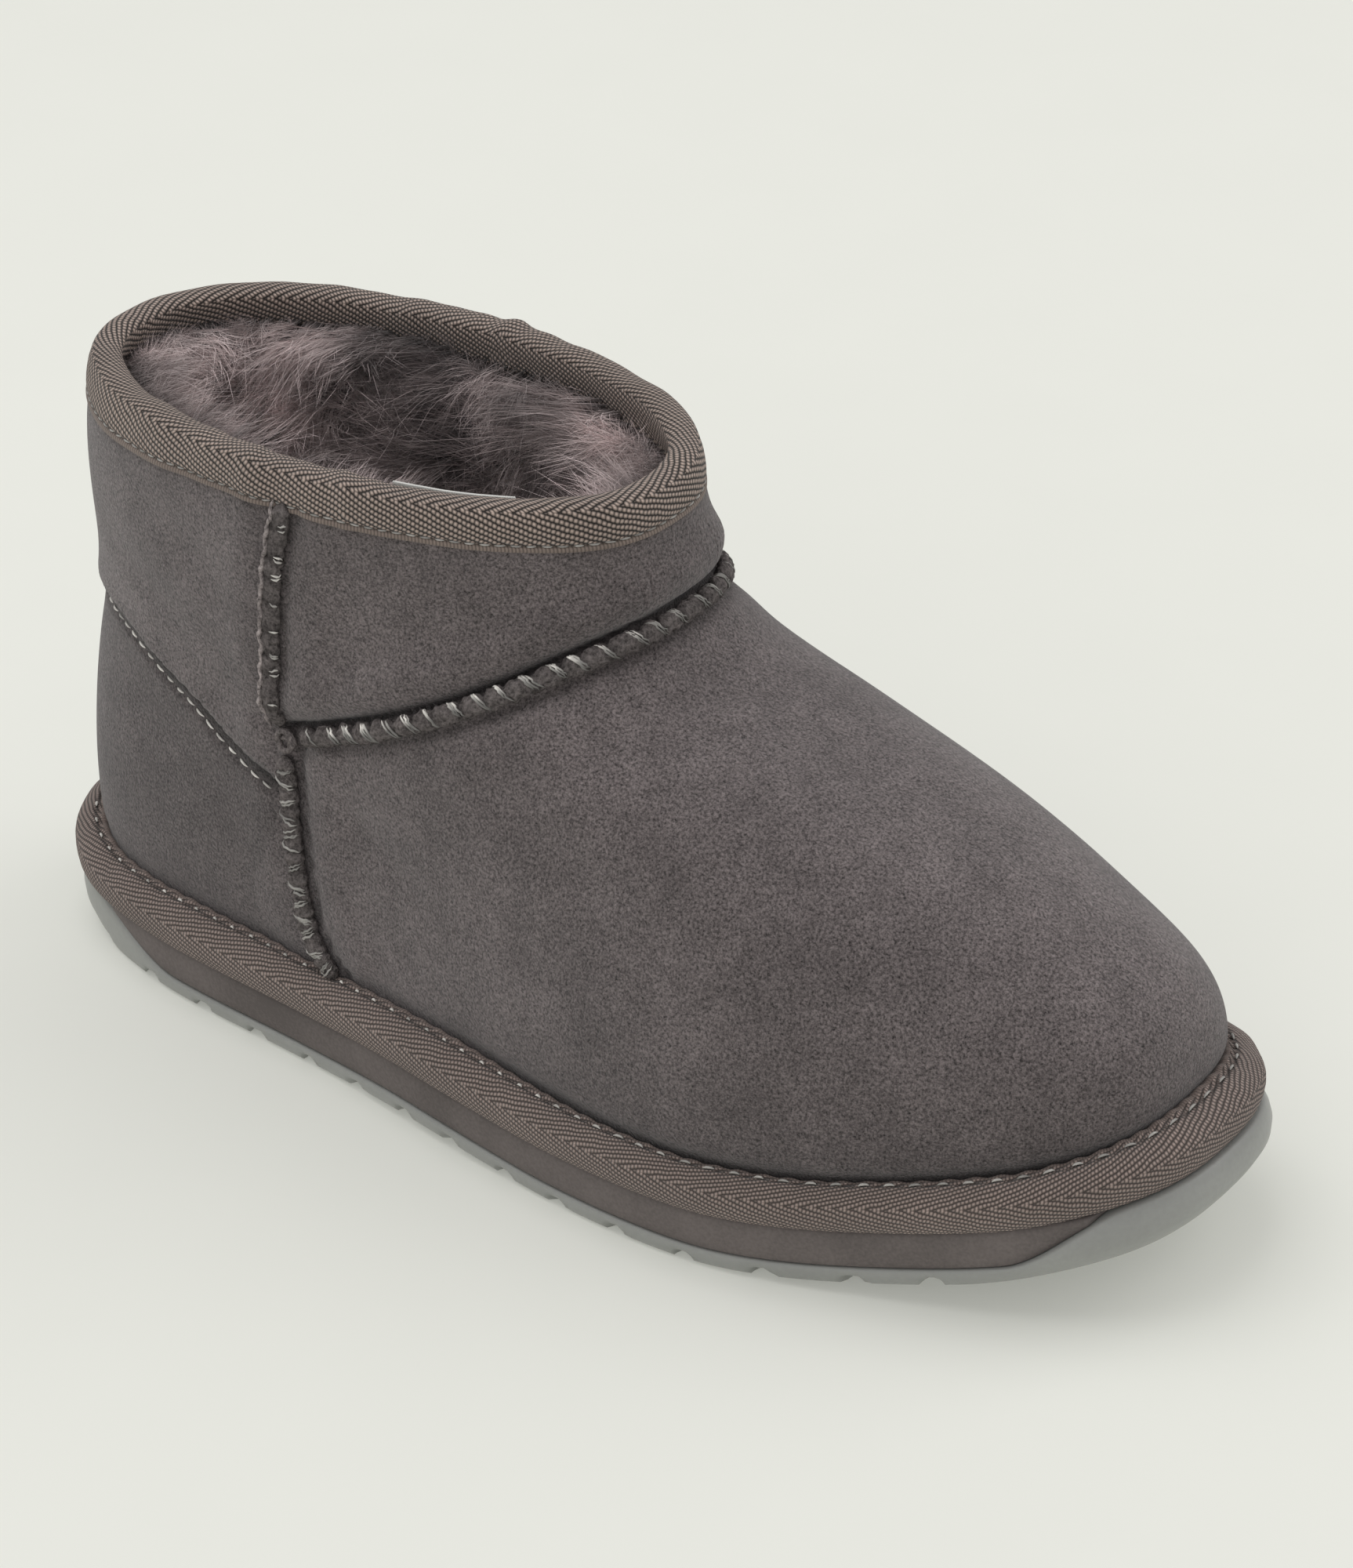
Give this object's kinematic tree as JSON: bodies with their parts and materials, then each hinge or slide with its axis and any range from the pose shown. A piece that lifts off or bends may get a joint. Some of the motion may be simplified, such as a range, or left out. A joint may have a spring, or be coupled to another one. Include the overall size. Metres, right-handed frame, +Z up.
{
  "type": "sheepskin boot",
  "caption": "Low ankle-high sheepskin boot for the right foot, with a fleece-lined suede upper, a taped collar and rand, and a light foam and rubber sole.",
  "frame": {"origin": "middle of the boot's footprint, on the floor it stands on", "axes": "+X towards the toe, +Y towards the inner side of the foot, +Z up"},
  "size_m": [0.2732, 0.103, 0.1344],
  "materials": {
    "rubber": "translucent pale grey moulded rubber, satin",
    "foam": "dark warm grey moulded foam, matte",
    "tape": "grey-brown herringbone woven tape",
    "suede": "dark grey brushed suede",
    "fleece": "deep grey-brown sheepskin pile",
    "thread": "grey polyester sewing thread"
  },
  "bodies": {
    "root": {"outsole": "rubber", "midsole": "foam", "rand": "tape", "upper": "suede", "collar_binding": "tape", "insole": "fleece"}
  },
  "joints": []
}
